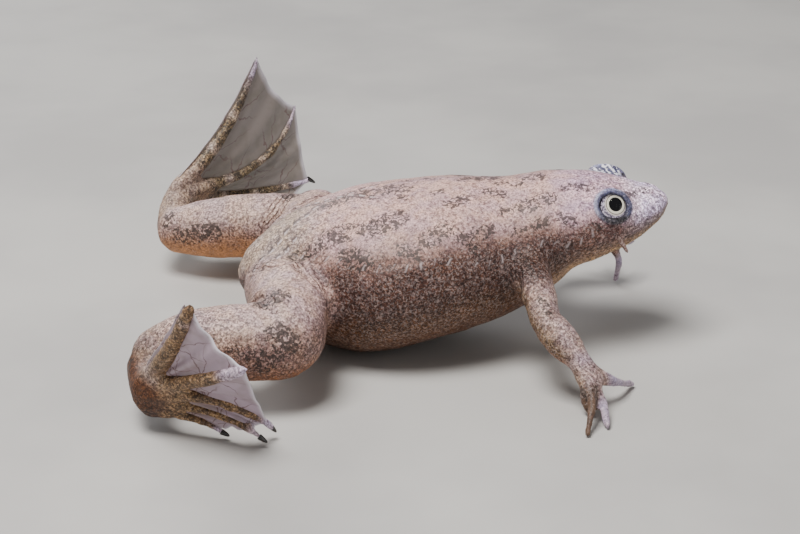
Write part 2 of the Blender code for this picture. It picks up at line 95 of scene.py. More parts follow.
class Shader:
    """A material whose nodes are added one by one. Its surface is a Principled shader."""

    def __init__(self, name, **constants):
        self.material = bpy.data.materials.new(name)
        self.material.use_nodes = True
        self.tree = self.material.node_tree
        self.surface = self.tree.nodes["Principled BSDF"]
        for key, value in constants.items():
            self.surface.inputs[key.replace("_", " ").title().replace("Ior", "IOR")].default_value = value

    def node(self, kind, settings=None, values=None, output=0):
        made = self.tree.nodes.new("ShaderNode" + kind)
        for key, value in (settings or {}).items():
            setattr(made, key, value)
        for key, value in (values or {}).items():
            self.feed(made.inputs[key], value)
        return Wire(self, made.outputs[output])

    def feed(self, socket, value):
        if isinstance(value, Wire):
            self.tree.links.new(value.socket, socket)
        elif socket.type == "RGBA" and len(value) == 3:
            socket.default_value = (*value, 1.0)
        else:
            socket.default_value = value

    def put(self, name, value):
        """Feeds one of the surface's own sockets."""
        self.feed(self.surface.inputs[name], value)

    def place(self):
        return self.node("TexCoord", output="Object")

    def field(self, name):
        """A number kept with each point of the mesh."""
        return self.node("Attribute", {"attribute_name": name}, output="Fac")

    def noise(self, place, grain, detail=3.0, warp=0.0):
        """Cloudy noise with clouds of about this many millimetres."""
        values = {"Vector": place, "Scale": 1 / (grain * MM), "Detail": detail, "Distortion": warp}
        return self.node("TexNoise", None, values | {"Roughness": 0.55})

    def mix(self, factor, low, high, way="MIX"):
        """A colour between two colours."""
        settings = {"data_type": "RGBA", "blend_type": way}
        return self.node("Mix", settings, {0: factor, 6: low, 7: high}, output=2)

    def bump(self, height, depth, strength=1.0):
        """A normal that follows a height, at most this many millimetres deep."""
        return self.node("Bump", None, {"Height": height, "Distance": depth * MM, "Strength": strength})

    def dress(self, obj):
        obj.data.materials.clear()
        obj.data.materials.append(self.material)


def only(*objects):
    """Selects just these objects, the first of them active."""
    bpy.ops.object.select_all(action="DESELECT")
    for obj in objects:
        obj.select_set(True)
    bpy.context.view_layer.objects.active = objects[0]


bpy.ops.object.select_all(action="DESELECT")
bpy.ops.mesh.primitive_plane_add(size=3.0, location=(0, 0, -0.05 * MM))
floor = bpy.context.object
floor.name = "floor"
paper = Shader("floor_paper", roughness=0.9)
cloud = paper.noise(paper.place(), 60, detail=4.0)
paper.put("Base Color", paper.mix(cloud.rising(0.35, 0.65), FLOOR_SHADE, FLOOR_PALE))
paper.dress(floor)

bpy.ops.object.camera_add()
camera = bpy.context.object
way_back = Vector((0, -math.cos(CAMERA_ELEVATION), math.sin(CAMERA_ELEVATION)))
camera.location = CAMERA_TARGET + way_back * CAMERA_DISTANCE
camera.rotation_euler = (-way_back).to_track_quat("-Z", "Y").to_euler()
camera.data.lens = CAMERA_LENS
camera.data.clip_start = 1 * MM
bpy.context.scene.camera = camera

for name, lamp_place, width, power, glow in LIGHTS:
    bpy.ops.object.light_add(type="AREA", location=lamp_place)
    light = bpy.context.object
    light.name = f"light_{name}"
    light.data.size = width
    light.data.energy = power
    light.data.color = glow
    light.rotation_euler = (CAMERA_TARGET - Vector(lamp_place)).to_track_quat("-Z", "Y").to_euler()
world = bpy.context.scene.world or bpy.data.worlds.new("room")
bpy.context.scene.world = world
world.use_nodes = True
world.node_tree.nodes["Background"].inputs["Color"].default_value = ROOM_LIGHT
world.node_tree.nodes["Background"].inputs["Strength"].default_value = ROOM_STRENGTH

# The skin's form: one soft hide over the head, trunk, limbs and toes, with no joints showing. The
# solids of the flesh and the toes are blended into one surface, which is finer on the head and toes.
SIDES = ("right", "left")
LIMB_PARTS = ("thigh", "shank", "tarsus", "upper_arm", "forearm", "hand")
FLESH = ["head", "torso"] + [f"{part}_{side}" for part in LIMB_PARTS for side in SIDES]
JOIN = 0.2
VOXEL = 0.47
SMOOTHING = 3
FOOT_ROOTS = {
    "right": ((-34.8, -36.5, 6.2), (0.24, -0.97, 0.0), (0.0, 0.0, 1.0)),
    "left": ((-37.5, 30.1, 10.9), (0.24, 0.9, 0.36), (0.0, -0.25, 0.97)),
}
# Each toe's bend and tip, first to fifth.
TOES = {
    "right": (((-28.3, -38.5, 3.2), (-24.3, -39.1, 1.2)), ((-25.4, -40.5, 5.0), (-18.9, -41.3, 1.5)),
              ((-24.8, -42.0, 7.6), (-17.7, -39.1, 2.2)), ((-27.6, -43.0, 11.0), (-19.9, -49.1, 15.6)),
              ((-30.8, -42.0, 14.8), (-27.0, -47.5, 24.0))),
    "left": (((-30.8, 36.5, 4.5), (-25.3, 39.5, 1.2)), ((-27.3, 40.5, 4.2), (-18.3, 45.5, 1.6)),
             ((-25.8, 42.5, 7.4), (-16.1, 48.5, 7.6)), ((-24.8, 41.7, 13.2), (-18.4, 48.5, 21.9)),
             ((-30.1, 36.5, 20.6), (-24.2, 41.5, 32.7))),
}
FOOT_WIDTH = 6.2
FOOT_DEPTH = 4.2
TOE_ROOTS = {"right": (0.8, 0.85, 1.05, 1.15, 1.38), "left": (0.9, 0.9, 0.95, 1.0, 1.42)}
TOE_TIPS = {"right": (0.5, 0.48, 0.5, 0.85, 0.88), "left": (0.5, 0.5, 0.47, 0.45, 0.45)}
KNUCKLES = (0.34, 0.6, 0.82)
TOE_SINK = 1.6
CLAWED_TOES = 3
CLAW_LEAN = (0.1, 0.0, -0.75)
CLAW_CLEAR = 0.55
CLAW_SPAN = 2.1
# The toe's skin runs on over the claw's root: how far, and how thick against the toe's tip.
CUFF_STEPS = (0.4, 0.7)
CUFF_THICKNESS = {"right": (0.85, 0.5), "left": (0.6, 0.25)}
# The near hand's fingers: where each leaves the palm, its bend and a point short of its tip.
FINGERS = (
    ((25.8, -28.1, 7.2), (30.3, -27.6, 3.9), (33.8, -22.9, 1.2)),
    ((26.6, -29.4, 5.9), (28.8, -31.9, 2.5), (29.2, -34.6, 1.2)),
    ((26.4, -29.2, 6.0), (27.2, -33.9, 3.4), (26.4, -37.4, 1.2)),
)
FINGER_ROOT = 1.1
FINGER_THINNING = 0.65
HEAD_BACK = 27.0
MIDDLE_Y = -4.5


def unit(vectors):
    return vectors / np.linalg.norm(vectors, axis=-1, keepdims=True)


def modify(obj, kind, **settings):
    """Adds a modifier with these settings and applies it."""
    only(obj)
    step = obj.modifiers.new(kind.lower(), kind)
    for key, value in settings.items():
        setattr(step, key, value)
    bpy.ops.object.modifier_apply(modifier=step.name)


def flesh_copy(names):
    """One new object with the merged mesh of these solids."""
    copies = []
    for name in names:
        copy = bpy.data.objects.new(f"{name}_copy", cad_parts[name].data.copy())
        bpy.context.scene.collection.objects.link(copy)
        copies.append(copy)
    only(*copies)
    bpy.ops.object.join()
    bpy.ops.object.mode_set(mode="EDIT")
    bpy.ops.mesh.select_all(action="SELECT")
    bpy.ops.mesh.remove_doubles(threshold=0.001 * MM)
    bpy.ops.object.mode_set(mode="OBJECT")
    return copies[0]


def tube(name, points, radii):
    """A closed round tube along the points, as thick at each as its radius says."""
    path = bpy.data.curves.new(name, "CURVE")
    path.dimensions = "3D"
    path.bevel_depth = MM
    path.bevel_resolution = 5
    path.use_fill_caps = True
    line = path.splines.new("POLY")
    line.points.add(len(points) - 1)
    for knot, point, radius in zip(line.points, points, radii):
        knot.co = (*(np.array(point) * MM), 1)
        knot.radius = radius
    obj = bpy.data.objects.new(name, path)
    bpy.context.scene.collection.objects.link(obj)
    only(obj)
    bpy.ops.object.convert(target="MESH")
    return bpy.context.object


def toe_start(side, k):
    """Where a toe leaves the ankle, and the way that the ankle points there."""
    middle, way, across = (np.array(v) for v in FOOT_ROOTS[side])
    way = unit(way)
    across = unit(across - (across @ way) * way)
    return middle + across * FOOT_WIDTH * (k / 5 - 0.4), way


def toe_line(side, k, at):
    """Points along a toe, which passes its bend half way."""
    start, _ = toe_start(side, k)
    bend, tip = (np.array(v) for v in TOES[side][k])
    control = 2 * bend - (start + tip) / 2
    t = np.asarray(at)[:, None]
    return (1 - t) ** 2 * start + 2 * t * (1 - t) * control + t**2 * tip


def toe_radius(side, k, at):
    """The toe's thickness along it: deep at the sole, swollen at each knuckle and rounded at the end."""
    at = np.asarray(at)
    deep = FOOT_DEPTH / 2 * math.sqrt(1 - (0.4 * (k - 2)) ** 2)
    fade = np.clip(at / 0.3, 0, 1)
    fade = fade * fade * (3 - 2 * fade)
    root, tip = TOE_ROOTS[side][k], TOE_TIPS[side][k]
    plain = root + (tip - root) * at**1.9
    knuckles = sum(0.1 * np.exp(-(((at - knuckle) / 0.04) ** 2)) for knuckle in KNUCKLES)
    end = np.sqrt(np.clip(1 - ((at - 0.93) / 0.075) ** 2, 0.06, 1)) * (at > 0.93) + (at <= 0.93)
    return ((1 - fade) * deep + fade * (plain + knuckles)) * end


def claw_way(side, k):
    """The way a claw points: on from the toe and down, but not into the floor."""
    bend, tip = (np.array(v) for v in TOES[side][k])
    way = unit(unit(tip - bend) + CLAW_LEAN)
    way[2] = max(way[2], -(tip[2] - CLAW_CLEAR) / CLAW_SPAN)
    return way


def ramp(values, low, high):
    """From 0 at low to 1 at high, smoothly."""
    t = np.clip((values - low) / (high - low), 0, 1)
    return t * t * (3 - 2 * t)


def bell(values, width):
    return np.exp(-((values / width) ** 2))


skin = flesh_copy(FLESH)
skin.name = "skin"
modify(skin, "DISPLACE", strength=JOIN * MM, mid_level=0.0)
parts = [skin]
along_toe = np.linspace(0.0, 1.0, 40)
for side in SIDES:
    for k in range(5):
        start, way = toe_start(side, k)
        points = np.vstack([start - way * TOE_SINK, toe_line(side, k, along_toe)])
        radii = toe_radius(side, k, along_toe) + JOIN * (1 - ramp(along_toe, 0.1, 0.3))
        radii = np.append(radii[0] * 0.9, radii)
        if k < CLAWED_TOES:
            way = claw_way(side, k)
            points = np.vstack([points] + [points[-1] + way * step for step in CUFF_STEPS])
            radii[-3:] = radii[-4]
            radii = np.append(radii, radii[-1] * np.array(CUFF_THICKNESS[side]))
        parts.append(tube(f"toe_{k}_{side}", points, radii))
for start, bend, end in np.array(FINGERS):
    at = np.linspace(0, 1, 12)[:, None]
    points = (1 - at) ** 2 * start + 2 * at * (1 - at) * (2 * bend - (start + end) / 2) + at**2 * end
    parts.append(tube("finger", points, JOIN + FINGER_ROOT - FINGER_THINNING * at[:, 0]))
only(*parts)
bpy.ops.object.join()
modify(skin, "REMESH", mode="VOXEL", voxel_size=VOXEL * MM)
modify(skin, "SMOOTH", factor=0.5, iterations=SMOOTHING)


def places_of(obj):
    """The points of a mesh in millimetres."""
    flat = np.empty(len(obj.data.vertices) * 3)
    obj.data.vertices.foreach_get("co", flat)
    return flat.reshape(-1, 3) / MM


def normals_of(obj):
    flat = np.empty(len(obj.data.vertices) * 3)
    obj.data.vertices.foreach_get("normal", flat)
    return flat.reshape(-1, 3)


def set_places(obj, places):
    obj.data.vertices.foreach_set("co", (places * MM).ravel())
    obj.data.update()


def refine(obj, chosen, smoothing):
    """Splits the faces between the chosen points in four and smooths them."""
    inside = np.array([all(chosen[i] for i in face.vertices) for face in obj.data.polygons])
    only(obj)
    bpy.ops.object.mode_set(mode="EDIT")
    bpy.ops.mesh.select_mode(type="FACE")
    bpy.ops.mesh.select_all(action="DESELECT")
    bpy.ops.object.mode_set(mode="OBJECT")
    obj.data.polygons.foreach_set("select", inside)
    bpy.ops.object.mode_set(mode="EDIT")
    bpy.ops.mesh.subdivide(number_cuts=1)
    bpy.ops.mesh.vertices_smooth(factor=0.5, repeat=smoothing)
    bpy.ops.object.mode_set(mode="OBJECT")


def near_line(places, line, reach=3.0):
    """Each point's distance from a line, and how far along the line its nearest place is."""
    line = np.array(line, float)
    steps = np.linalg.norm(np.diff(line, axis=0), axis=1)
    marks = np.concatenate([[0.0], np.cumsum(steps)])
    distance = np.full(len(places), 99.0)
    along = np.zeros(len(places))
    close = np.all((places > line.min(0) - reach) & (places < line.max(0) + reach), axis=1)
    kept = places[close]
    best, best_along = distance[close], along[close]
    for start, end, step, mark in zip(line, line[1:], steps, marks):
        t = np.clip((kept - start) @ (end - start) / step**2, 0, 1)
        gap = np.linalg.norm(kept - start - t[:, None] * (end - start), axis=1)
        better = gap < best
        best[better], best_along[better] = gap[better], (mark + t * step)[better]
    distance[close], along[close] = best, best_along
    return distance, along


def near_toes(places):
    """Each point's distance from the nearest toe's middle line, and its share of the toe's length."""
    gap, share = np.full(len(places), 99.0), np.zeros(len(places))
    for side in SIDES:
        for k in range(5):
            distance, along = near_line(places, toe_line(side, k, along_toe))
            closer = distance < gap
            gap[closer], share[closer] = distance[closer], along[closer] / along.max()
    return gap, share


places = places_of(skin)
toe_gap, toe_share = near_toes(places)
swollen = 1 - ramp(-toe_gap, -2.2, -1.5) * ramp(toe_share, 0.1, 0.3)
places -= (JOIN * swollen)[:, None] * normals_of(skin)
set_places(skin, places)
on_face = (places[:, 0] > HEAD_BACK) & (places[:, 2] > 14) & (np.abs(places[:, 1] - MIDDLE_Y) < 12)
refine(skin, on_face | (near_toes(places)[0] < 1.2), SMOOTHING)

# The face: a raised round lid hugs each eye, nostrils open on the snout's tip, and the mouth is a fine
# groove with soft lips that runs round the snout and back below the eyes.
EYE_RADIUS = 2.35
EYES = {"right": np.array((31.5, -10.1, 23.8)), "left": np.array((32.1, 1.1, 24.1))}
EYE_CLEAR = 0.04
LID_AXIS = np.array((0.235, 0.835, 0.496))
LID_OPENING = (2.18, 1.76)
LID_THICKNESS = 0.42
LID_SWELL = 0.14
LID_SWELL_AT = math.radians(205)
LID_LIFT = 0.95
LID_HALF_WIDTH = 0.9
RING_RADIUS = 0.25
NOSTRIL = (39.3, 1.45, 25.6)
NOSTRIL_DEPTH = 0.55
NOSTRIL_WIDTH = 0.3
MOUTH_ANGLE = math.radians(-43)
MOUTH_DEPTH = 0.42
MOUTH_WIDTH = 0.24
MOUTH_FRONT = (38.2, MIDDLE_Y, 22.3)
# The mouth's line back from the snout's tip, as x and z in the body's middle.
MOUTH_MIDDLE = (
    (38.4, 22.5), (37.0, 22.2), (35.5, 21.9), (33.5, 21.4), (31.5, 21.1), (29.5, 20.8), (27.6, 20.5),
)


def outward(side):
    """-1 for the right side, 1 for the left."""
    return -1 if side == "right" else 1


def lid_axis(side):
    return unit(LID_AXIS * (1, outward(side), 1))


def eye_ways(side):
    """Forward and upward in the plane of the eye's opening, and straight out of it."""
    axis = lid_axis(side)
    forward = unit(np.array((1.0, 0.0, 0.0)) - axis[0] * axis)
    return forward, np.cross(axis, forward) * -outward(side), axis


places = places_of(skin)
for side in SIDES:
    away = places - EYES[side]
    distance = np.linalg.norm(away, axis=1)
    hug = np.maximum(distance, EYE_RADIUS + EYE_CLEAR)
    places = EYES[side] + away * (hug / np.maximum(distance, 0.1))[:, None]
set_places(skin, places)
surface = BVHTree.FromObject(skin, bpy.context.evaluated_depsgraph_get())
lids = [skin]
for side in SIDES:
    forward, upward, axis = eye_ways(side)
    bpy.ops.mesh.primitive_torus_add(
        major_segments=96, minor_segments=22, major_radius=1.0, minor_radius=RING_RADIUS)
    ring = bpy.context.object
    x, y, z = np.array([corner.co for corner in ring.data.vertices]).T
    turn = np.arctan2(y, x)
    thick = LID_THICKNESS + LID_SWELL * np.cos(turn - LID_SWELL_AT)
    outer = (np.hypot(x, y) - 1) / RING_RADIUS
    over = z / RING_RADIUS
    wide, high = (half + thick * (1 + outer) for half in LID_OPENING)
    height = LID_LIFT + thick * np.where(over > 0, 0.85, 3.0) * over
    local = np.column_stack([wide * np.cos(turn), high * np.sin(turn), height])
    set_places(ring, local @ np.array((forward, upward, axis)) + EYES[side])
    lids.append(ring)
only(*lids)
bpy.ops.object.join()
places = places_of(skin)
# The lid's mask, and masks for the painted shade on its lower part and the painted highlight on its upper
# edge.
lid, lid_shade, lid_highlight = np.zeros((3, len(places)))
for side in SIDES:
    forward, upward, axis = eye_ways(side)
    away = places - EYES[side]
    height, ahead, above = away @ axis, away @ forward, away @ upward
    long, high = (half + LID_HALF_WIDTH for half in LID_OPENING)
    out = np.hypot(ahead / long, above / high)
    ring = ramp(-out, -1.08, -0.96) * ramp(height, -1.3, 0.3) * (height < 3)
    lid = np.maximum(lid, ring)
    lid_shade = np.maximum(lid_shade, ring * ramp(-above, 0.6, 2.0))
    lid_highlight = np.maximum(lid_highlight, ring * bell(out - 0.98, 0.1) * ramp(above - ahead, -1, 2))


def rounded(points, step=0.5):
    """A smooth line through these points, in short steps."""
    points = np.array(points, float)
    knots = np.vstack([2 * points[0] - points[1], points, 2 * points[-1] - points[-2]])
    line = []
    for a, b, c, d in zip(knots, knots[1:], knots[2:], knots[3:]):
        for t in np.arange(0, 1, min(step / np.linalg.norm(c - b), 0.5)):
            curve = a - 2.5 * b + 2 * c - d / 2 + t * (1.5 * (b - c) + (d - a) / 2)
            line.append(b + t * ((c - a) / 2 + t * curve))
    return np.array(line + [points[-1]])


def outermost(start, way):
    """The outermost place on the skin that a ray from inside meets, in millimetres."""
    way = Vector(way).normalized()
    hit = surface.ray_cast((Vector(start) + 30 * way) * MM, -way)[0]
    return np.array(hit) / MM


def engrave(line, depth, width):
    """Presses a groove with soft banks into the skin along a line and returns its shape."""
    places = places_of(skin)
    distance, along = near_line(places, line)
    ends = ramp(along, 0.0, 1.5) * ramp(-along, -along.max(), -along.max() + 1.5)
    shape = bell(distance, width) * ends
    bank = 0.35 * bell(distance - 2.2 * width, width) * ends
    set_places(skin, places - ((shape - bank) * depth)[:, None] * normals_of(skin))
    return shape


# The grooves of the mouth, nostrils and folds, which the material paints darker as painted shade.
crease_shade = np.zeros(len(places))
lip = np.zeros(len(places))
for side in SIDES:
    sign = outward(side)
    line = [outermost(MOUTH_FRONT, (1.0, aside * sign, -0.35)) for aside in (0.05, 0.4)]
    for x, z in MOUTH_MIDDLE:
        line.append(outermost((x, MIDDLE_Y, z), (0, sign * math.cos(MOUTH_ANGLE), math.sin(MOUTH_ANGLE))))
    line = rounded(line)
    crease_shade = np.maximum(crease_shade, engrave(line, MOUTH_DEPTH, MOUTH_WIDTH))
    lip = np.maximum(lip, bell(near_line(places, line + (0, 0, -0.6))[0], 0.5))
    middle = np.array((NOSTRIL[0], MIDDLE_Y + sign * NOSTRIL[1], NOSTRIL[2]))
    slit = [outermost(middle - (1.5, 0, 2) + (dx, 0, 0), (0.35, sign * 0.35, 1)) for dx in (-0.25, 0.25)]
    distance, _ = near_line(places_of(skin), slit)
    dent = NOSTRIL_DEPTH * bell(distance, NOSTRIL_WIDTH) - 0.12 * bell(distance - 0.6, 0.25)
    set_places(skin, places_of(skin) - dent[:, None] * normals_of(skin))
    crease_shade = np.maximum(crease_shade, bell(distance, NOSTRIL_WIDTH))

# The folds: loose skin creases where each limb meets the body, behind the knees and over the rump, and
# the whole hide is a little uneven over the muscles.
GROIN = (
    (-15.4, -15.4, 17.6), (-13.9, -18.4, 17.2), (-12.4, -20.6, 15.6), (-11.4, -21.6, 13.4),
    (-10.9, -21.2, 10.5),
)
HIP = ((-21.8, -12.6, 14.8), (-19.8, -15.6, 16.4), (-18.0, -16.6, 17.2), (-15.6, -15.6, 17.6))
KNEE = ((-22.0, -21.6, 13.0), (-20.6, -23.5, 14.8), (-19.2, -26.0, 16.0), (-18.2, -28.6, 15.6))
ARMPIT = ((16.6, -18.6, 16.6), (17.2, -19.0, 13.8), (18.8, -16.6, 11.6))
ELBOW = ((23.4, -23.0, 12.4), (22.6, -24.6, 12.8), (21.4, -25.4, 11.8))
# Each fold's line, depth and width.
FOLDS = ((GROIN, 0.6, 0.75), (HIP, 0.3, 0.6), (KNEE, 0.5, 0.75), (ARMPIT, 0.4, 0.7), (ELBOW, 0.25, 0.6))
UNEVEN = 0.14


def on_left(points):
    """The same places on the left side."""
    return np.array(points) * (1, -1, 1) + (0, 2 * MIDDLE_Y, 0)


def laid(points):
    """A smooth line through these points, laid on the skin."""
    return np.array([surface.find_nearest(Vector(point) * MM)[0] for point in rounded(points)]) / MM


left_folds = tuple((on_left(fold), depth, width) for fold, depth, width in FOLDS[:2])
for fold, depth, width in FOLDS + left_folds:
    crease_shade = np.maximum(crease_shade, 0.4 * engrave(laid(fold), depth, width))
places = places_of(skin)
swell = [noise.noise(Vector(place) * 0.32) + 0.5 * noise.noise(Vector(place) * 0.8) for place in places]
places += (UNEVEN * np.array(swell) * (1 - lid))[:, None] * normals_of(skin)
places[:, 2] = np.maximum(places[:, 2], 0.0)
set_places(skin, places)

# The skin's ground colours: lilac-grey above, a dark reddish band along each flank, orange-tan below,
# smooth bluish fingers and olive toes. Each region fades into the next. Painted shade darkens each
# shoulder's top, two fingers of the near hand, the near foot's heel and sole and the lower part of each
# lid, and a painted highlight lightens each lid's upper edge.
# Along the trunk: x, height of the middle, half width and half depth.
TRUNK = (
    (-24.4, 10.2, 1.6, 1.5), (-20.3, 10.9, 6.9, 6.2), (-15.8, 11.3, 10.6, 8.9), (-11.3, 11.5, 13.6, 11.0),
    (-5.8, 11.8, 16.0, 12.2), (1.2, 13.2, 16.8, 11.9), (8.2, 14.5, 15.4, 11.4), (14.2, 15.8, 13.0, 10.5),
    (19.2, 17.6, 11.0, 9.1), (23.7, 19.7, 9.9, 7.6), (28.2, 20.6, 8.9, 6.6), (32.2, 21.2, 7.5, 5.6),
    (35.7, 21.9, 6.1, 4.1), (40.8, 23.1, 1.0, 0.7),
)
PALMS = ((27.4, -30.1, 4.9), (34.6, 15.4, 8.7))
# Two fingers of the near hand that lie in shade, each as points along it; they are painted dark as painted
# shade.
SHADED_FINGERS = (
    ((27.2, -31.8, 4.0), (27.2, -33.9, 3.3), (26.3, -38.3, 0.4)),
    ((27.0, -31.0, 3.0), (27.4, -32.4, 0.4)),
)
EYE_SOCKET = (0.2, 1.6, -2.4)
# The middle of the painted shade on each shoulder's top.
SHOULDER_SHADE_MIDDLE = (18.6, 13.0, 17.8)
# The skin's tones, as a screen shows them. The heel, sole, shoulder, shaded finger and lower lid tones
# are painted shade, and the lid's edge tone is a painted highlight.
TONES = {
    "back": (198, 163, 158), "nape": (204, 172, 188), "snout": (246, 228, 255), "rump": (176, 156, 140),
    "upper flank": (138, 107, 100), "lips": (146, 124, 118), "flank": (79, 51, 41), "belly": (88, 54, 26),
    "thigh": (196, 166, 162), "leg's side": (152, 120, 108), "shank": (188, 160, 153),
    "arm": (158, 134, 128), "arm's back": (116, 96, 72), "limb's underside": (142, 92, 56),
    "far shank's underside": (188, 132, 86), "far ankle": (126, 92, 58), "near ankle": (150, 128, 116),
    "painted_heel_shade": (92, 56, 32), "sole": (76, 48, 32), "finger": (174, 160, 180), "finger's painted shade": (92, 72, 60),
    "near toe": (148, 119, 86), "far toe": (132, 114, 84), "knuckle": (196, 178, 162),
    "toe's tip": (196, 180, 198), "last knuckle": (190, 170, 166), "cheek": (124, 90, 80),
    "eye's socket": (92, 52, 42), "shoulder's painted shade": (62, 42, 34), "jaw": (150, 118, 92), "throat": (178, 142, 104),
    "lip": (214, 194, 142), "far lid's foot": (74, 74, 96), "lid": (84, 86, 116), "lower lid's painted shade": (62, 60, 60),
    "lid's painted highlight": (178, 180, 212),
}


def tone(red, green, blue):
    """A colour as a screen shows it, made linear."""
    return ((np.array((red, green, blue)) / 255 + 0.055) / 1.055) ** 2.4


def set_field(obj, name, values):
    """Keeps a number with each point of the mesh, for the material."""
    obj.data.attributes.new(name, "FLOAT", "POINT").data.foreach_set("value", values.astype(np.float32))


corners, faces, owners = [], [], []
for number, name in enumerate(FLESH):
    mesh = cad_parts[name].data
    faces += [[i + len(corners) for i in face.vertices] for face in mesh.polygons]
    owners += [number] * len(mesh.polygons)
    corners += [corner.co.copy() for corner in mesh.vertices]
solids = BVHTree.FromPolygons(corners, faces)
owner = np.array([owners[solids.find_nearest(Vector(place) * MM)[2]] for place in places])
pairs = np.empty(len(skin.data.edges) * 2, int)
skin.data.edges.foreach_get("vertices", pairs)
pairs = pairs.reshape(-1, 2)
neighbours = np.bincount(pairs.ravel(), minlength=len(places))


def spread(values, rounds):
    """Blurs a number kept with each point over the points round it."""
    for _ in range(rounds):
        total = values.copy()
        for one, other in ((0, 1), (1, 0)):
            total += np.bincount(pairs[:, one], values[pairs[:, other]], len(values))
        values = total / (1 + neighbours)
    return values


def region(*names, rounds=10):
    """1 on these solids, fading to 0 past their borders."""
    numbers = [i for i, name in enumerate(FLESH) if name.startswith(names)]
    return spread(np.isin(owner, numbers).astype(float), rounds)


x, y, z = places.T
normals = normals_of(skin)
stations = np.array(TRUNK).T
middle_z, half_width, half_depth = (np.interp(x, stations[0], row) for row in stations[1:])
slope = np.degrees(np.arctan2((z - middle_z) / half_depth, np.abs(y - MIDDLE_Y) / half_width))
thighs, shanks, ankles = region("thigh"), region("shank"), region("tarsus")
arms = region("upper_arm", "forearm", "hand") * ramp(-z, -16.8, -14.2)
trunk = 1 - arms - thighs - shanks - ankles
from_palm = np.min([np.linalg.norm(places - palm, axis=1) for palm in PALMS], axis=0)
fingers = region("hand") * ramp(from_palm, 2.0, 4.6)
toe_gap, toe_share = near_toes(places)
toes = ramp(-toe_gap, -2.3, -1.4) * ramp(toe_share, 0.12, 0.3)
below = spread(ramp(-normals[:, 2], 0.05, 0.7), 6)
sideways = spread(ramp(-normals[:, 2], -0.75, -0.1), 8)
wander = np.array([noise.noise(Vector(place) * 0.22) for place in places])

ground = np.tile(tone(*TONES["back"]), (len(places), 1))


def tint(name, share):
    """Mixes a tone into the ground where the share says."""
    ground[:] += np.clip(share, 0, 1)[:, None] * (tone(*TONES[name]) - ground)


tint("nape", ramp(x, 20, 28) * trunk)
tint("snout", ramp(x, 32.0, 36.0) * trunk)
tint("rump", ramp(-x, 9, 17))
angle = slope + 10 * wander + 16 * ramp(x, 14, 27)
band = ramp(-angle, -38, -18) * trunk
tint("upper flank", ramp(-angle, -52, -26) * trunk * ramp(-x, -34, -20))
low_snout = ramp(-angle, -22, 0) * ramp(x, 27, 31) * trunk
tint("lips", low_snout * 0.8)
tint("flank", band * ramp(-x, -36, -28))
tint("belly", ramp(-angle, 2, 24) * trunk)
tint("thigh", thighs * 0.7)
tint("leg's side", (thighs + shanks) * sideways)
tint("shank", shanks * (1 - sideways) * 0.8)
tint("arm", arms * 0.9)
tint("arm's back", arms * sideways * ramp(-normals[:, 0], -0.2, 0.6))
tint("limb's underside", below * (thighs + shanks + ankles + arms))
far_under = spread(ramp(-normals[:, 2], -0.05, 0.4), 6) * shanks * ramp(y, 8, 14)
tint("far shank's underside", far_under * 0.9)
near_foot = ramp(-y, 20, 30)
tint("far ankle", ankles * (1 - near_foot) * 0.3 * (1 - 0.6 * below))
tint("near ankle", (ankles + shanks) * near_foot * ramp(-x, 31, 36) * 0.9)
# Painted shade: the near foot's heel and sole, low down by the floor, are painted dark brown.
painted_heel_shade = (ankles + shanks) * near_foot * ramp(-z - 0.3 * x, 0.0, 2.6) * ramp(-x, 29, 34)
tint("painted_heel_shade", painted_heel_shade)
tint("sole", near_foot * ankles * ramp(-z, -6.5, -2))
tint("finger", fingers)
# Painted shade on the near hand's fingers that lie in shade.
for finger in SHADED_FINGERS:
    tint("finger's painted shade", ramp(-near_line(places, finger)[0], -1.7, -1.0))
tint("near toe", toes * near_foot)
tint("far toe", toes * (1 - near_foot) * 0.9)
joints = np.max([bell(toe_share - knuckle, 0.035) for knuckle in KNUCKLES], axis=0)
tint("knuckle", toes * joints * (1 - near_foot) * 0.8)
fourth_tip = ramp(toe_share, 0.7, 0.86) * near_foot * ramp(z, 7, 10) * ramp(-z, -19, -17)
toe_tips = toes * np.maximum(ramp(toe_share, 0.82, 0.92) * (1 - near_foot * ramp(z, 5, 9)), fourth_tip)
tint("toe's tip", toe_tips)
tint("last knuckle", toes * bell(toe_share - 0.84, 0.03) * near_foot * ramp(z, 18, 20) * 0.5)
tint("cheek", bell(x - 29.5, 5) * bell(slope + 12, 26) * trunk)
painted_shoulder_shade = np.zeros(len(places))
for side in SIDES:
    sign = outward(side)
    socket = np.linalg.norm(places - EYES[side] - np.array(EYE_SOCKET) * (1, sign, 1), axis=1)
    tint("eye's socket", 0.85 * bell(socket, 1.8) * trunk)
    middle = np.array(SHOULDER_SHADE_MIDDLE) * (1, sign, 1) + (0, MIDDLE_Y, 0)
    painted_shoulder_shade = np.maximum(painted_shoulder_shade, bell(np.linalg.norm(places - middle, axis=1), 3.4))
# Painted shade on each shoulder's top, which faces up into the light; the matt field raises the roughness
# there to dull the sheen.
tint("shoulder's painted shade", 0.6 * painted_shoulder_shade)
set_field(skin, "matt", painted_shoulder_shade)
tint("jaw", ramp(-slope, 14, 30) * bell(x - 30, 5) * trunk * 0.7)
tint("throat", ramp(-slope, 30, 50) * ramp(x, 18, 27) * trunk)
tint("lip", lip * ramp(x, 27, 31))
far_dome = np.linalg.norm(places - EYES["left"], axis=1)
far_dome = ramp(-far_dome, -4.2, -3.5) * ramp(z, 25.2, 26.2)
tint("far lid's foot", bell(far_dome - 0.4, 0.35) * ramp(z, 24.6, 25.2) * ramp(y, -4, -1))
lid = np.maximum(lid, far_dome)
tint("lid", lid)
# Painted shade on the lower part of each lid ring.
tint("lower lid's painted shade", lid_shade * 0.85)
# A painted highlight on the upper edge of each lid ring.
tint("lid's painted highlight", lid_highlight * 0.7)
set_field(skin, "bar", far_dome * ramp(-x, -34.5, -33.5))

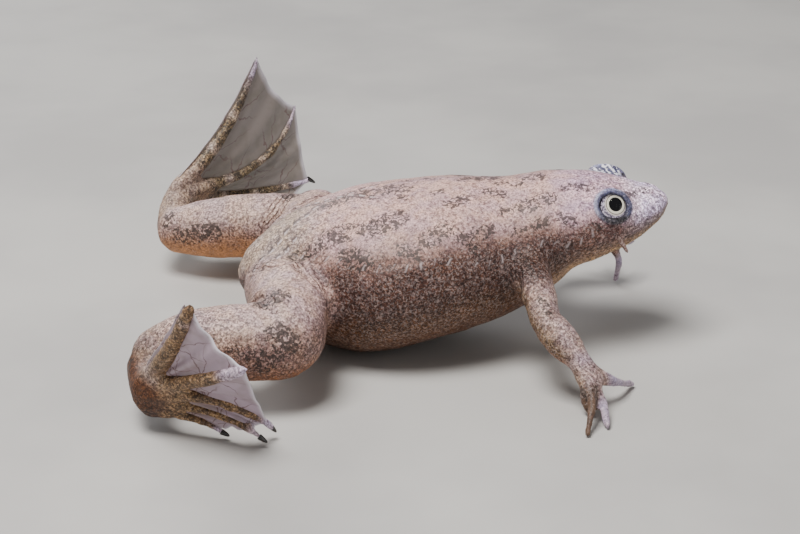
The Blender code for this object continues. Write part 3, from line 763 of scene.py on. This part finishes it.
# The marks: dark blotches, each a cluster of fine specks, and the rows of pale raised strokes, like
# stitches, of the lateral line. Marks on the right side are repeated, shifted a little, on the left.
# Most are given where the camera sees them, in a picture this many points wide and high.
PICTURE = (800, 534)
SENSOR_WIDTH = 36
# A blotch's two ends and half width in the picture.
SEEN_BLOTCHES = (
    ((427, 240), (449, 228), 6), ((464, 240), (487, 229), 6), ((474, 243), (476, 250), 3),
    ((451, 204), (468, 198), 4), ((435, 192.5), (441, 190.5), 1.8), ((524, 207), (550, 198), 5.5),
    ((567, 187.5), (589, 186.5), 3), ((527, 177), (539, 176), 2.5), ((482, 178.5), (492, 178), 1.7),
    ((463, 179.5), (469, 179), 1.6), ((490, 191), (501, 195), 3), ((502, 211), (510.5, 209), 2.2),
    ((535, 228), (547, 220), 3.5), ((515, 233), (522, 231), 2.5), ((561, 217), (573, 222), 3.5),
    ((500.5, 183.5), (503, 183.5), 1.8), ((516, 184.5), (518.5, 184.5), 1.8), ((303, 253), (333, 240), 5),
    ((328, 238), (346, 232), 7.5), ((370, 228), (398, 219), 7.5), ((347, 256), (364, 262), 9),
    ((402, 250), (418, 256), 5.5), ((382, 190), (400, 189), 4), ((345, 197), (368, 193), 3.5),
    ((326, 205), (338, 202), 3), ((401, 198), (405, 197), 1.5), ((296, 258), (300, 260), 4),
    ((276, 334), (290, 343), 10), ((234, 350), (262, 357), 4), ((266, 300), (276, 296), 6),
    ((284, 350), (262, 368), 6), ((180, 236), (212, 232), 7),
)
# More of them, given in millimetres: two ends and a radius. Some lie just under the skin, so that
# only a little of them shows.
PLACED_BLOTCHES = (
    ((34.1, -8.2, 25.2), (34.9, -7.8, 25.4), 0.6), ((36.6, -6.6, 25.4), (37.2, -6.0, 25.5), 0.4),
    ((33.6, -9.9, 22.6), (36.4, -8.6, 22.9), 0.6), ((28.2, -11.8, 22.2), (29.2, -12.0, 21.6), 0.7),
    ((-39.6, -29.0, 10.6), (-38.6, -32.6, 8.6), 1.1), ((20.4, -23.0, 14.4), (21.4, -24.8, 13.2), 0.3),
)
FLANK_ROW = (
    (301, 256), (318, 258), (334, 260), (352, 267), (369, 268.5), (382, 268), (410, 268), (439, 262),
    (468, 266), (495, 262), (519.5, 250.6), (547.6, 242), (569, 245), (582, 241.6), (598, 229),
)
BACK_ROW = (
    (252.3, 272), (268.3, 254.2), (283.6, 236.3), (296.3, 223.6), (307.8, 214.6), (318.5, 206.5),
    (335.9, 199.3), (351, 193.2), (367.8, 187.6), (378, 185),
)
RUMP_ROW = ((253, 277), (268.3, 264.4), (283.6, 254.2), (300, 234))


def seen(across, down):
    """The place on the solids, in millimetres, that the camera sees at this point of its picture."""
    wide, high = PICTURE
    right = Vector((1, 0, 0))
    up = way_back.cross(right)
    ahead = way_back * -wide * CAMERA_LENS / SENSOR_WIDTH
    way = right * (across - wide / 2) + up * (high / 2 - down) + ahead
    hit = solids.ray_cast(CAMERA_TARGET + way_back * CAMERA_DISTANCE, way.normalized())[0]
    return np.array(hit) / MM


def seen_row(points):
    """The places of these points of the picture, to a tenth of a millimetre."""
    return np.round([seen(*point) for point in points], 1)


def seen_blotch(start, end, half_width):
    """A blotch's two ends and its radius on the solids, to a tenth of a millimetre."""
    along = unit(np.subtract(end, start))
    aside = half_width * np.array((-along[1], along[0]))
    middle = np.add(start, end) / 2
    width = np.linalg.norm(seen(*(middle + aside)) - seen(*(middle - aside)))
    return *seen_row((start, end)), round(width / 2, 1)


blotch = toes * ((1 - near_foot) * (1 - joints) * 0.6 + near_foot * 0.2) * (1 - toe_tips)
for start, end, radius in [seen_blotch(*mark) for mark in SEEN_BLOTCHES] + list(PLACED_BLOTCHES):
    ends = np.array((start, end))
    copies = [ends]
    if abs(start[1] - MIDDLE_Y) > 2 and start[1] < 10:
        copies.append(on_left(ends) + (1.2 * math.sin(9 * start[0]), 0.5 * math.cos(7 * start[2]), 0))
    for line in copies:
        distance, _ = near_line(places, line)
        blotch = np.maximum(blotch, ramp(-distance, -radius - 0.7, -radius + 0.4))


def row_fields(name, *lines):
    """Keeps how far along a line a point lies, and how far to one side or the other of it."""
    at, off = np.zeros(len(places)), np.full(len(places), 9.0)
    for row in [laid(line) for line in lines] + [laid(on_left(line)) for line in lines]:
        distance, along = near_line(places, row, 3.0)
        near = (distance < 2.5) & (distance < np.abs(off))
        marks = np.concatenate([[0.0], np.cumsum(np.linalg.norm(np.diff(row, axis=0), axis=1))])
        foot, way = (np.column_stack([np.interp(along[near], marks, values) for values in rows.T])
                     for rows in (row, np.gradient(row, axis=0)))
        beside = np.sum(np.cross(way, normals[near]) * (places[near] - foot), axis=1)
        turned = np.sign(beside * (MIDDLE_Y - row[0, 1]))
        at[near], off[near] = along[near] + 0.6 * row[0, 1], distance[near] * turned
    set_field(skin, f"{name}_at", at)
    set_field(skin, f"{name}_off", off)


row_fields("flank", seen_row(FLANK_ROW))
row_fields("back", seen_row(BACK_ROW), seen_row(RUMP_ROW))
row_fields("fold", *(fold for fold, _, _ in FOLDS[:4]))
# How closely dark specks and pale flecks crowd on each part of the body.
limbs = thighs + shanks + ankles
speck = 0.35 + 0.6 * band + 0.4 * arms + (0.25 + 0.3 * sideways) * limbs + 0.65 * ramp(x, 26, 32) * trunk
speck += 0.5 * ramp(-x, 8, 15) * trunk + 0.6 * near_foot * ramp(-x, 22, 30) * shanks + 0.5 * low_snout
speck += 0.4 * toes - 0.7 * fingers - 0.6 * lid + 0.15 * wander - 0.3 * ramp(-angle, 10, 30) * trunk
speck -= (below * limbs + 0.2 * far_under) * (1 - near_foot) + 0.8 * toe_tips
fleck = 0.5 + 0.6 * band + 0.5 * arms - 0.8 * fingers + 0.2 * limbs - 0.5 * toes - 0.4 * lid
fleck += 0.4 * ramp(x, 24, 32) + 0.3 * ramp(-x, 8, 15) * trunk
fleck += 0.5 * low_snout - 0.5 * far_under - 0.7 * painted_heel_shade
fleck += 0.15 * toes * near_foot - 0.5 * toe_tips - 0.3 * painted_shoulder_shade
set_field(skin, "speck", np.clip(speck, 0, 1))
set_field(skin, "fleck", np.clip(fleck, 0, 1))
set_field(skin, "blotch", blotch)
set_field(skin, "crease_shade", crease_shade)
colours = skin.data.attributes.new("ground", "FLOAT_COLOR", "POINT")
colours.data.foreach_set("color", np.hstack([ground, np.ones((len(ground), 1))]).astype(np.float32).ravel())
only(skin)
bpy.ops.object.shade_smooth()

# The hide's finish: moist, finely pebbled skin with a salt-and-pepper grain, dark specks that crowd
# together in the blotches, and pale worm-like flecks, with painted shade darkening the grooves and
# the wrinkles beside the folds.
FLANK_STROKES = {"spacing": 2.1, "half_length": 0.1, "half_width": 0.5, "side_shift": 0.0}
BACK_STROKES = {"spacing": 1.95, "half_length": 0.48, "half_width": 0.22, "side_shift": 0.46}
BARS_ACROSS = (7.4 / MM, 1.5 / MM, 5.0 / MM)
WRINKLE_SPACING = 0.75
hide = Shader("skin_hide", specular_ior_level=0.3, coat_weight=0.03, coat_roughness=0.3)
place = hide.place()
colour = hide.node("Attribute", {"attribute_name": "ground"}, output="Color")
cloud = hide.noise(place, 3.0, detail=2.0).rising(0.35, 0.65)
colour = hide.mix(cloud, hide.mix(1.0, colour, (0.92, 0.92, 1.0), "MULTIPLY"),
                  hide.mix(1.0, colour, (1.06, 1.02, 0.94), "MULTIPLY"))
mottle = hide.noise(place, 1.1, detail=2.0).rising(0.32, 0.68) * 0.22 + 0.88
colour = hide.mix(1.0, colour, mottle, "MULTIPLY")
grain = hide.noise(place, 0.3, detail=2.5).rising(0.33, 0.67) - 0.53
colour = hide.mix(1.0, colour, grain * (hide.field("speck") * 0.75 + 0.45) + 1.0, "MULTIPLY")
flecks = (hide.noise(place, 0.33, detail=1.0, warp=0.8) + hide.field("fleck") * 0.1).rising(0.62, 0.7)
worm = (hide.noise(place, 1.1, detail=1.0, warp=1.0) - 0.5).size()
flecks = flecks.either((1.0 - worm.rising(0.012, 0.034)) * 0.6 * hide.field("fleck"))
pale = hide.mix(0.42, hide.mix(1.0, colour, (1.9, 1.85, 1.85), "MULTIPLY"), (0.68, 0.6, 0.58))
colour = hide.mix(flecks * (hide.field("fleck") * 0.3 + 0.3), colour, pale)
dots = (hide.noise(place, 0.48, detail=2.0, warp=0.5) + hide.field("speck") * 0.14).rising(0.6, 0.65)
patch = (hide.noise(place, 0.62, detail=1.5, warp=0.9) + hide.field("blotch") * 0.11).rising(0.57, 0.605)
dark = hide.mix(1.0, colour, (0.3, 0.25, 0.27), "MULTIPLY")
patch = patch * hide.field("blotch").rising(0.05, 0.3)
colour = hide.mix(dots * 0.7, colour, dark)
ink = hide.mix(0.5, hide.mix(1.0, colour, (0.19, 0.18, 0.18), "MULTIPLY"), tone(62, 57, 54))
colour = hide.mix(patch * 0.9, colour, ink)


def strokes(name, spacing, half_length, half_width, side_shift):
    """A row of short strokes: how near each point is to a stroke's middle, and to its dark edge."""
    off = hide.field(f"{name}_off") + hide.noise(place, 2.2) * 1.2 - 0.6
    cell = (hide.field(f"{name}_at") + off * 0.5 + hide.noise(place, 1.4) * 0.9) * (1 / spacing)
    gap = (cell.sum("FRACT", cell) - 0.5).size() * spacing
    ragged = hide.noise(place, 0.8, detail=2.0) * 0.5 - 0.25
    inside = (1.0 - (gap + ragged * 0.4).rising(half_length - 0.1, half_length + 0.14)) * (
        1.0 - (off.size() + ragged).rising(half_width - 0.08, half_width + 0.12))
    edge = (1.0 - gap.rising(half_length + 0.1, half_length + 0.3)) * (
        1.0 - (off + side_shift).size().rising(half_width + 0.1, half_width + 0.3))
    return inside, edge


flank_stroke, flank_edge = strokes("flank", **FLANK_STROKES)
back_stroke, back_edge = strokes("back", **BACK_STROKES)
faint = hide.noise(place, 1.8).rising(0.35, 0.6) * 0.5 + 0.06
broken = hide.noise(place, 0.6, detail=2.0, warp=1.0)
stroke = (flank_stroke * faint).either(back_stroke * broken.rising(0.36, 0.46) * 0.9)
edge = (flank_edge * faint * 0.8).either(back_edge * broken.rising(0.3, 0.42) * 0.9)
colour = hide.mix(edge, colour, hide.mix(0.5, dark, tone(66, 60, 60)))
colour = hide.mix(stroke, colour, (0.6, 0.5, 0.5))
across = hide.node("VectorMath", {"operation": "DOT_PRODUCT"}, {0: place, 1: BARS_ACROSS}, output=1)
bars = across.sum("SINE", across) * 0.5 + hide.noise(place, 0.8, detail=1.0, warp=1.0) * 5.0 - 2.6
bars = hide.field("bar") * bars.rising(0.0, 0.4)
colour = hide.mix(bars, colour, tone(236, 234, 246))
beside = hide.field("fold_off") + hide.noise(place, 3.0) * 1.2 - 0.6
row = beside * (1 / WRINKLE_SPACING)
wrinkle = 1.0 - ((row.sum("FRACT", row) - 0.5).size() * WRINKLE_SPACING).rising(0.03, 0.17)
wrinkle = wrinkle * (1.0 - beside.size().rising(0.7, 2.2)) * hide.noise(place, 1.6).rising(0.36, 0.5)
# Painted shade darkens the grooves and the wrinkles beside the folds.
colour = hide.mix((hide.field("crease_shade") * 0.8).either(wrinkle * 0.85), colour,
                  hide.mix(1.0, colour, (0.24, 0.18, 0.16), "MULTIPLY"))
hide.put("Base Color", colour)
hide.put("Roughness", hide.field("matt") * 0.35 + 0.55)
pebble = hide.noise(place, 0.4, detail=2.0) * 0.6 + hide.noise(place, 1.3, detail=2.0)
hide.put("Normal", hide.bump(pebble + stroke * 0.8 - wrinkle * 2.5, 0.09, strength=0.8))
hide.dress(skin)
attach(skin, "root")
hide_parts(*FLESH)

# The webs: thin moist membranes between the toes, lilac-grey with dark branching veins and a bright
# free edge. Each hangs a little slack between the middle lines of its two toes. The far foot's webs are
# painted darker, as painted shade.
WEB_REACH = (0.9, 0.92, 0.98, 0.985, 0.985)
WEB_SAGS = (0.08, 0.06, 0.015, 0.055, 0.055)
WEB_THICKNESS = 0.16
WEB_SLACK = 0.28
WEB_START = 0.04
FRINGE = 0.45
FRINGE_SLACK = 0.05
membrane = Shader("web_membrane", roughness=0.4, coat_weight=0.1, coat_roughness=0.25, alpha=0.8)
along = membrane.field("along")
wobble = membrane.noise(membrane.place(), 2.0, detail=2.0) * 1.5


def veins(from_toe, slope, spacing, start):
    """Thin lines that leave the toe at this spacing, lean outward and fade."""
    cell = (along - from_toe * slope + wobble + start) * (1 / spacing)
    gap = (cell.sum("FRACT", cell) - 0.5).size() * spacing
    return (1.0 - gap.rising(0.02, 0.11)) * (1.0 - from_toe.rising(2.5, 6.0))


one_side, other_side = membrane.field("from_first"), membrane.field("from_second")
vein = veins(one_side, 0.25, 3.7, 0.6).either(veins(one_side, 0.7, 3.7, 0.6))
vein = vein.either(veins(other_side, 0.3, 4.1, 1.9)).either(veins(other_side, 0.85, 4.1, 1.9))
cloud = membrane.noise(membrane.place(), 2.5, detail=2.0)
film = membrane.mix(along.rising(2.0, 12.5), tone(148, 124, 116), tone(190, 170, 186))
film = membrane.mix(cloud.rising(0.4, 0.7) * 0.4, film, tone(140, 124, 114))
# Painted shade: the far foot's webs are darker.
film = membrane.mix(membrane.field("far_web_shade"), film, membrane.mix(1.0, film, (0.52, 0.56, 0.42), "MULTIPLY"))
film = membrane.mix(vein * 0.7, film, tone(92, 50, 48))
film = membrane.mix(membrane.field("rim"), film, tone(236, 230, 240))
membrane.put("Base Color", film)
membrane.put("Normal", membrane.bump(cloud + vein * 0.3, 0.06))
for side in SIDES:
    sheets = []
    for k in range(5):
        bpy.ops.mesh.primitive_grid_add(x_subdivisions=20, y_subdivisions=40, size=1.0)
        sheet = bpy.context.object
        sheet.name = f"web_{side}"
        spots = np.array([corner.co for corner in sheet.data.vertices]) + 0.5
        w, v = spots[:, 0], spots[:, 1]
        other = min(k + 1, 4)
        reach = (1 - w) * WEB_REACH[k] + w * WEB_REACH[other] - WEB_SAGS[k] * np.sin(np.pi * w) ** 0.8
        u = (WEB_START + (1 - WEB_START) * v) * reach
        over = toe_line(side, other, u) - toe_line(side, k, u)
        slack = WEB_SLACK
        if k == 4:
            outer = unit(toe_line(side, 4, u) - toe_line(side, 3, u))
            fringe = toe_radius(side, 4, u) + FRINGE * np.sin(np.pi * np.clip(u * 1.02, 0, 1)) ** 0.5
            over, slack = outer * fringe[:, None], FRINGE_SLACK
        ahead = toe_line(side, k, u + 0.02) - toe_line(side, k, u)
        lift = np.sin(2 * np.pi * (2.5 * w + 0.4 * v + 0.3 * k)) * np.sin(np.pi * w) * ramp(v, 0.1, 0.6)
        off_plane = (slack * lift)[:, None] * unit(np.cross(ahead, over))
        set_places(sheet, toe_line(side, k, u) + w[:, None] * over + off_plane)
        width = np.linalg.norm(over, axis=1)
        set_field(sheet, "from_first", w * width)
        set_field(sheet, "from_second", (1 - w) * width)
        set_field(sheet, "along", u * 13 + 1.3 * k)
        set_field(sheet, "far_web_shade", np.full(len(u), float(side == "left")))
        set_field(sheet, "rim", ramp(w, 0.9, 1.0) * 0.5 if k == 4 else ramp(v, 0.965, 0.99))
        sheets.append(sheet)
    only(*sheets)
    bpy.ops.object.join()
    web = bpy.context.object
    bpy.ops.object.shade_smooth()
    modify(web, "SOLIDIFY", thickness=WEB_THICKNESS * MM, offset=0.0)
    membrane.dress(web)
    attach(web, "root")
    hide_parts(f"foot_{side}")

# The eyes: a ball with a flat silvery iris, ringed with cream round a small black pupil, below a clear
# bulging cornea that catches the light. The ball lies close in the lid.
IRIS = 2.2
IRIS_BULGE = 0.3
PUPIL = 1.1
PUPIL_DEPTH = 0.25
PUPIL_SHIFT = (0.42, 0.3)
CORNEA_BULGE = 0.2
CORNEA_GAP = 0.03
iris = Shader("eye_iris", roughness=0.4, specular_ior_level=0.15)
out, inner = iris.field("from_middle"), iris.field("from_pupil")
silver = iris.noise(iris.place(), 0.3, detail=4.0, warp=0.6)
look = iris.mix(silver.rising(0.4, 0.58), tone(220, 212, 236), tone(104, 96, 116))
look = iris.mix(inner.rising(1.62, 1.8), tone(222, 214, 210), look)
look = iris.mix(inner.rising(1.5, 1.56), tone(64, 52, 58), look)
look = iris.mix(inner.rising(1.4, 1.46), tone(236, 233, 220), look)
look = iris.mix(inner.rising(PUPIL - 0.06, PUPIL + 0.02), (0.004, 0.004, 0.006), look)
look = iris.mix(out.rising(IRIS - 0.42, IRIS - 0.22) * iris.field("shade"), look, tone(30, 26, 34))
iris.put("Base Color", look)
glaze = Shader("eye_cornea")
clear = glaze.node("BsdfTransparent", None, {"Color": (0.93, 0.92, 0.9)})
shine = glaze.node("BsdfGlossy", None, {"Roughness": 0.04})
cover = glaze.node("MixShader", None, {0: glaze.node("Fresnel", None, {"IOR": 1.14}), 1: clear, 2: shine})
glaze.tree.links.new(cover.socket, glaze.tree.nodes["Material Output"].inputs["Surface"])
for side in SIDES:
    for part, radius in (("iris", EYE_RADIUS - CORNEA_GAP), ("cornea", EYE_RADIUS)):
        bpy.ops.mesh.primitive_uv_sphere_add(segments=64, ring_count=56, radius=radius * MM)
        ball = bpy.context.object
        ball.name = f"eye_{part}_{side}"
        spots = places_of(ball)
        height = spots[:, 2].copy()
        out = np.hypot(spots[:, 0], spots[:, 1])
        if part == "iris":
            rim_height = math.sqrt(radius**2 - IRIS**2)
            shifted = np.hypot(spots[:, 0] - PUPIL_SHIFT[0], spots[:, 1] - PUPIL_SHIFT[1])
            flat = rim_height + IRIS_BULGE * (1 - (out / IRIS) ** 2)
            flat -= PUPIL_DEPTH * ramp(-shifted, -PUPIL, -PUPIL + 0.2)
            height = np.where(height > rim_height, flat, height)
            set_field(ball, "from_middle", np.where(spots[:, 2] > 0, out, 3.0))
            set_field(ball, "from_pupil", np.where(spots[:, 2] > 0, shifted, 3.0))
            set_field(ball, "shade", ramp(-spots[:, 0] - spots[:, 1], -0.3, 1.2))
        else:
            height += CORNEA_BULGE * ramp(height, 0.9, 2.2)
        local = np.column_stack([spots[:, :2], height])
        set_places(ball, local @ np.array(eye_ways(side)) + EYES[side])
        only(ball)
        bpy.ops.object.mode_set(mode="EDIT")
        bpy.ops.mesh.select_all(action="SELECT")
        bpy.ops.mesh.normals_make_consistent(inside=False)
        bpy.ops.object.mode_set(mode="OBJECT")
        bpy.ops.object.shade_smooth()
        (iris if part == "iris" else glaze).dress(ball)
        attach(ball, "root")
        if part == "iris":
            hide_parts(f"eye_{side}")

# The feelers: a short soft tentacle of bare skin hangs on the cheek under each eye, its root grown
# into the hide.
FEELER_AHEAD = 1.2
FEELER_BESIDE = 1.6
FEELER_BELOW = 4.2
FEELER_LENGTH = 2.3
FEELER_SINK = 0.5
FEELER_ROOT = 0.46
FEELER_THINNING = 0.24
bare = Shader("feeler_hide", roughness=0.5)
mottle = bare.noise(bare.place(), 0.3).rising(0.35, 0.65)
bare.put("Base Color", bare.mix(mottle, tone(96, 70, 62), tone(156, 134, 128)))
for side in SIDES:
    below_eye = EYES[side] + (FEELER_AHEAD, outward(side) * FEELER_BESIDE, -FEELER_BELOW)
    root, normal, _, _ = surface.find_nearest(Vector(below_eye) * MM)
    root, normal = np.array(root) / MM, np.array(normal)
    way = unit(normal * 0.55 + (0.45, 0.0, -0.75))
    at = np.linspace(0, 1, 14)[:, None]
    points = root - FEELER_SINK * normal + way * at * (FEELER_LENGTH + FEELER_SINK) + (0.1, 0, -0.3) * at**2
    end = np.sqrt(np.clip(1 - ((at[:, 0] - 0.85) / 0.16) ** 2, 0.1, 1) ** (at[:, 0] > 0.85))
    feeler = tube(f"feeler_{side}", points, (FEELER_ROOT - FEELER_THINNING * at[:, 0]) * end)
    bare.dress(feeler)
    only(feeler)
    bpy.ops.object.shade_smooth()
    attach(feeler, "root")
    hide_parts(f"tentacle_{side}")

# The claws: curved cones of polished black horn on the first three toes of each foot, grown round the
# toe's tip.
CLAW_LENGTH = 1.65
CLAW_SINK = 0.5
CLAW_RADIUS = 0.4
CLAW_TIP = 0.03
CLAW_CURVE = (0.15, 0, -0.15)
horn = Shader("claw_horn", roughness=0.22, coat_weight=0.4)
streak = horn.noise(horn.place(), 0.5).rising(0.4, 0.7)
horn.put("Base Color", horn.mix(streak, (0.008, 0.007, 0.007), (0.03, 0.022, 0.018)))
for side in SIDES:
    for k, number in enumerate(("first", "second", "third")):
        at = np.linspace(0, 1, 22)[:, None]
        reach = at * CLAW_LENGTH - CLAW_SINK
        points = np.array(TOES[side][k][1]) + claw_way(side, k) * reach + CLAW_CURVE * at**3
        radii = CLAW_RADIUS * np.sqrt(1 - at[:, 0] ** 1.6) + CLAW_TIP
        claw = tube(f"claw_{number}_{side}_horn", points, radii)
        only(claw)
        bpy.ops.object.shade_smooth()
        horn.dress(claw)
        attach(claw, "root")
        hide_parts(f"claw_{number}_{side}")
